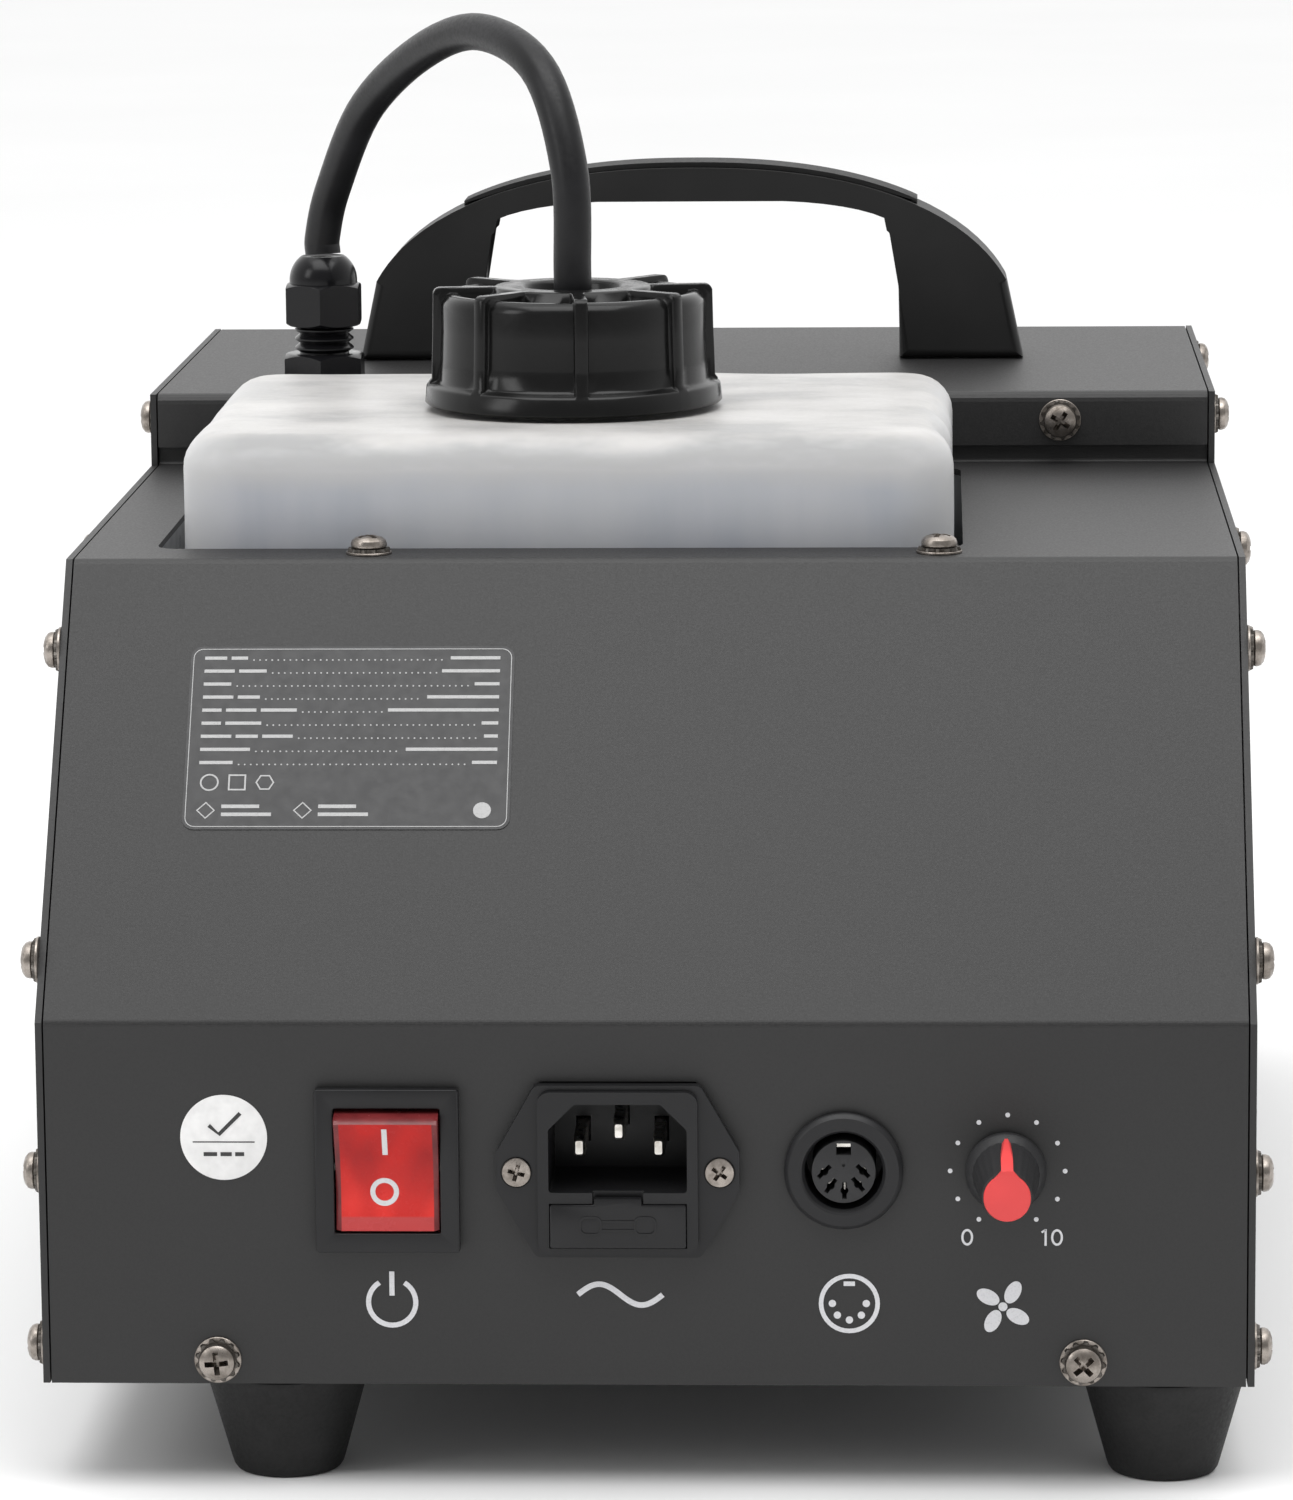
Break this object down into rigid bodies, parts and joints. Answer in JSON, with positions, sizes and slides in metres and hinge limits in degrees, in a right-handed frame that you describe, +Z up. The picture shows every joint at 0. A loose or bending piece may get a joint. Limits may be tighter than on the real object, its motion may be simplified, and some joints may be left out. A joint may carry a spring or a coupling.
{
  "type": "haze machine",
  "caption": "Compact stage haze machine: folded steel case, lift-out fluid tank with screw cap and hose, carry handle, rear control panel and front outlet.",
  "frame": {"origin": "on the standing surface, below the centre of the case with its outlet hood and knob", "axes": "+Z up, +Y from the rear control panel towards the haze outlet, +X to the right of someone facing the control panel"},
  "size_m": [0.215, 0.4, 0.2527],
  "materials": {
    "powder_coat": "fine-textured satin",
    "zinc_sheet": "satin",
    "screws": "nickel plated",
    "foot_rubber": "matte",
    "handle_plastic": "fine grain",
    "grip_rubber": "matte",
    "tank_polythene": "translucent satin",
    "cap_plastic": "gloss",
    "liner_plastic": "satin",
    "filter_brass": "machined",
    "hose_rubber": "satin",
    "gland_nylon": "semi-gloss",
    "switch_plastic": "satin",
    "rocker_red": "translucent gloss",
    "inlet_plastic": "satin",
    "contact_metal": "nickel plated",
    "fuse_glass": "clear",
    "socket_plastic": "satin",
    "knob_plastic": "soft touch",
    "pointer_red": "satin",
    "heater_casting": "as cast",
    "works_plastic": "satin",
    "pump_steel": "ground",
    "board_laminate": "satin"
  },
  "bodies": {
    "case": {"base_plate": "powder_coat", "rear_cover": "powder_coat", "top_cover": "powder_coat", "front_panel": "powder_coat", "side_plate_left": "powder_coat", "side_plate_right": "powder_coat", "tank_bay": "zinc_sheet", "outlet_plenum": "zinc_sheet", "heater_shield": "zinc_sheet", "pump_bracket": "zinc_sheet", "deck_screw_left": "screws", "deck_screw_right": "screws", "step_screw_left": "screws", "step_screw_right": "screws", "back_screw_left": "screws", "back_screw_right": "screws", "inlet_screw_left": "screws", "inlet_screw_right": "screws", "foot_rear_left": "foot_rubber", "foot_rear_right": "foot_rubber", "foot_front_left": "foot_rubber", "foot_front_right": "foot_rubber", "carry_handle": "handle_plastic", "handle_grip": "grip_rubber", "nozzle": "filter_brass", "fluid_hose": "hose_rubber", "gland_body": "gland_nylon", "gland_nut": "gland_nylon", "gland_locknut": "gland_nylon", "switch_bezel": "switch_plastic", "inlet_housing": "inlet_plastic", "pin_live": "contact_metal", "pin_neutral": "contact_metal", "pin_earth": "contact_metal", "rocker_pin": "contact_metal", "potentiometer": "contact_metal", "din_shell": "socket_plastic", "din_insert": "socket_plastic", "heater_block": "heater_casting", "thermostat": "works_plastic", "outlet_hood": "works_plastic", "outlet_slat_lower": "works_plastic", "outlet_slat_upper": "works_plastic", "fan_frame": "works_plastic", "pump_body": "works_plastic", "pump_spring": "pump_steel", "circuit_board": "board_laminate"},
    "rocker": {"rocker": "rocker_red"},
    "knob": {"knob": "knob_plastic", "knob_cap": "pointer_red", "pot_shaft": "contact_metal"},
    "fuse_drawer": {"fuse_drawer": "inlet_plastic", "fuse": "fuse_glass"},
    "tank": {"tank": "tank_polythene"},
    "pickup": {"cap_liner": "liner_plastic", "pickup_tube": "liner_plastic", "pickup_filter": "filter_brass"},
    "cap": {"tank_cap": "cap_plastic"},
    "fan": {"fan_rotor": "works_plastic"},
    "plunger": {"pump_plunger": "pump_steel"}
  },
  "joints": [
    {"name": "rocker_press", "type": "hinge", "parent": "case", "child": "rocker", "pos_m": [-0.0454, -0.178, 0.0588], "axis": [-1, 0, 0], "range_deg": [0, 20]},
    {"name": "knob_turn", "type": "hinge", "parent": "case", "child": "knob", "pos_m": [0.0636, -0.179, 0.0587], "axis": [0, 1, 0], "range_deg": [-150, 150]},
    {"name": "fuse_drawer_slide", "type": "slide", "parent": "case", "child": "fuse_drawer", "axis": [0, -1, 0], "range_m": [0, 0.02]},
    {"name": "tank_lift", "type": "slide", "parent": "case", "child": "tank", "axis": [0, 0, 1], "range_m": [0, 0.09], "deforming": ["fluid_hose"]},
    {"name": "liner_rise", "type": "slide", "parent": "tank", "child": "pickup", "axis": [0, 0, 1], "range_m": [0, 0.009], "deforming": ["fluid_hose"]},
    {"name": "cap_turn", "type": "hinge", "parent": "pickup", "child": "cap", "pos_m": [-0.0175, -0.0645, 0.1808], "axis": [0, 0, 1], "range_deg": [0, 812]},
    {"name": "fan_spin", "type": "hinge", "parent": "case", "child": "fan", "pos_m": [0.025, 0.1327, 0.0655], "axis": [0, 1, 0], "continuous": true},
    {"name": "plunger_stroke", "type": "slide", "parent": "case", "child": "plunger", "axis": [0, 0, -1], "range_m": [0, 0.003], "stiffness_N_per_m": 400, "springref_m": -0.002, "deforming": ["pump_spring"]}
  ],
  "couplings": [
    {"joint": "cap_turn", "follows": "liner_rise", "rad_per_m": 1570.8}
  ]
}
